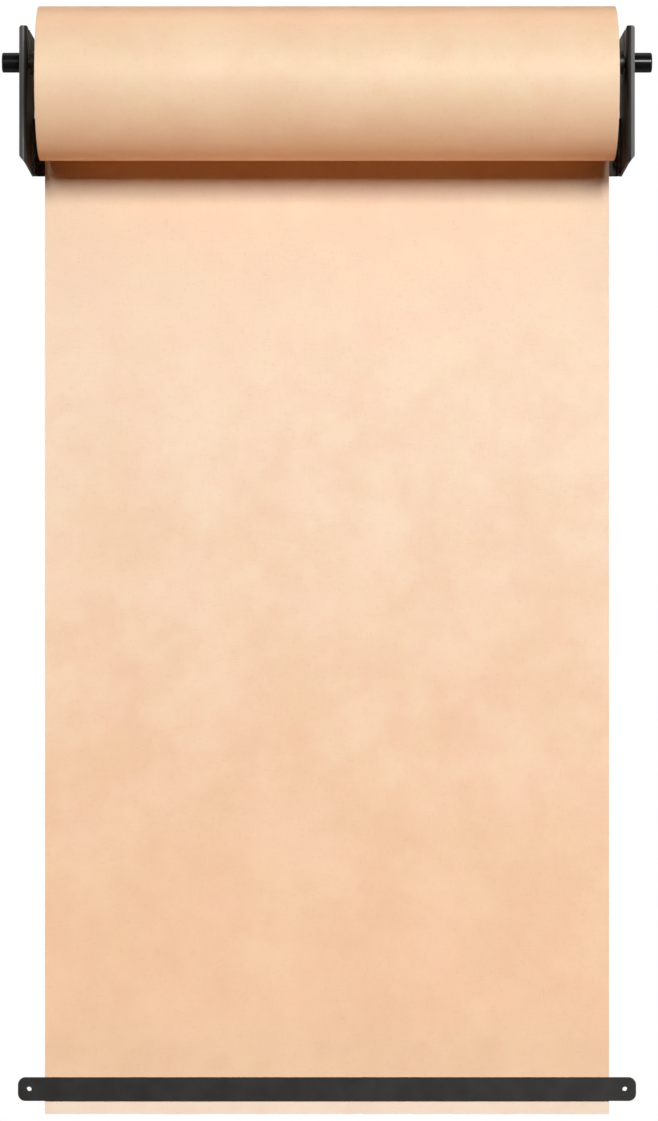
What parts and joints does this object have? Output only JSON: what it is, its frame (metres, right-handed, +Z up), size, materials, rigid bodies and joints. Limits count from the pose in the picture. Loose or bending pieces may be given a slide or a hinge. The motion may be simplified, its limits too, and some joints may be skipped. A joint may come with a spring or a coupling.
{
  "type": "wall wrapping paper dispenser and cutter",
  "caption": "Wall bracket that carries a roll of kraft wrapping paper on a lift-out rod, with a separate flat tear bar below that the hanging sheet runs behind.",
  "frame": {"origin": "centre of the four wall holes of the back rail, on the wall plane", "axes": "+X to the right along the roll, +Y into the wall, +Z up; the front faces -Y"},
  "size_m": [0.689, 0.1679, 1.1865],
  "materials": {
    "black_powder_coat": "satin powder coat",
    "blackened_steel": "black oxide",
    "gloss_black": "gloss",
    "black_rubber": "matt",
    "core_board": "matt",
    "kraft_paper": "matt with a faint sheen"
  },
  "bodies": {
    "bracket": {"back_rail": "black_powder_coat", "left_side_plate": "black_powder_coat", "right_side_plate": "black_powder_coat", "side_plate_screws": "blackened_steel", "side_plate_nuts": "blackened_steel", "tear_bar": "black_powder_coat", "bar_spacers": "black_rubber"},
    "spindle": {"spindle_tube": "black_powder_coat", "left_end_plug": "blackened_steel", "right_end_plug": "blackened_steel", "left_knob": "gloss_black", "right_knob": "gloss_black", "paper_web": "kraft_paper"},
    "roll": {"core_tube": "core_board", "paper_roll": "kraft_paper"},
    "sheet_end": {"paper_end": "kraft_paper"}
  },
  "joints": [
    {"name": "spindle_lift", "type": "slide", "parent": "bracket", "child": "spindle", "axis": [0, 0, 1], "range_m": [0, 0.045]},
    {"name": "roll_spin", "type": "hinge", "parent": "spindle", "child": "roll", "pos_m": [0, -0.0865, 0.0603], "axis": [-1, 0, 0], "range_deg": [0, 210]},
    {"name": "paper_feed", "type": "slide", "parent": "spindle", "child": "sheet_end", "axis": [0, 0, -1], "range_m": [0, 0.3]}
  ],
  "couplings": [
    {"joint": "paper_feed", "follows": "roll_spin", "m_per_rad": 0.0815}
  ]
}
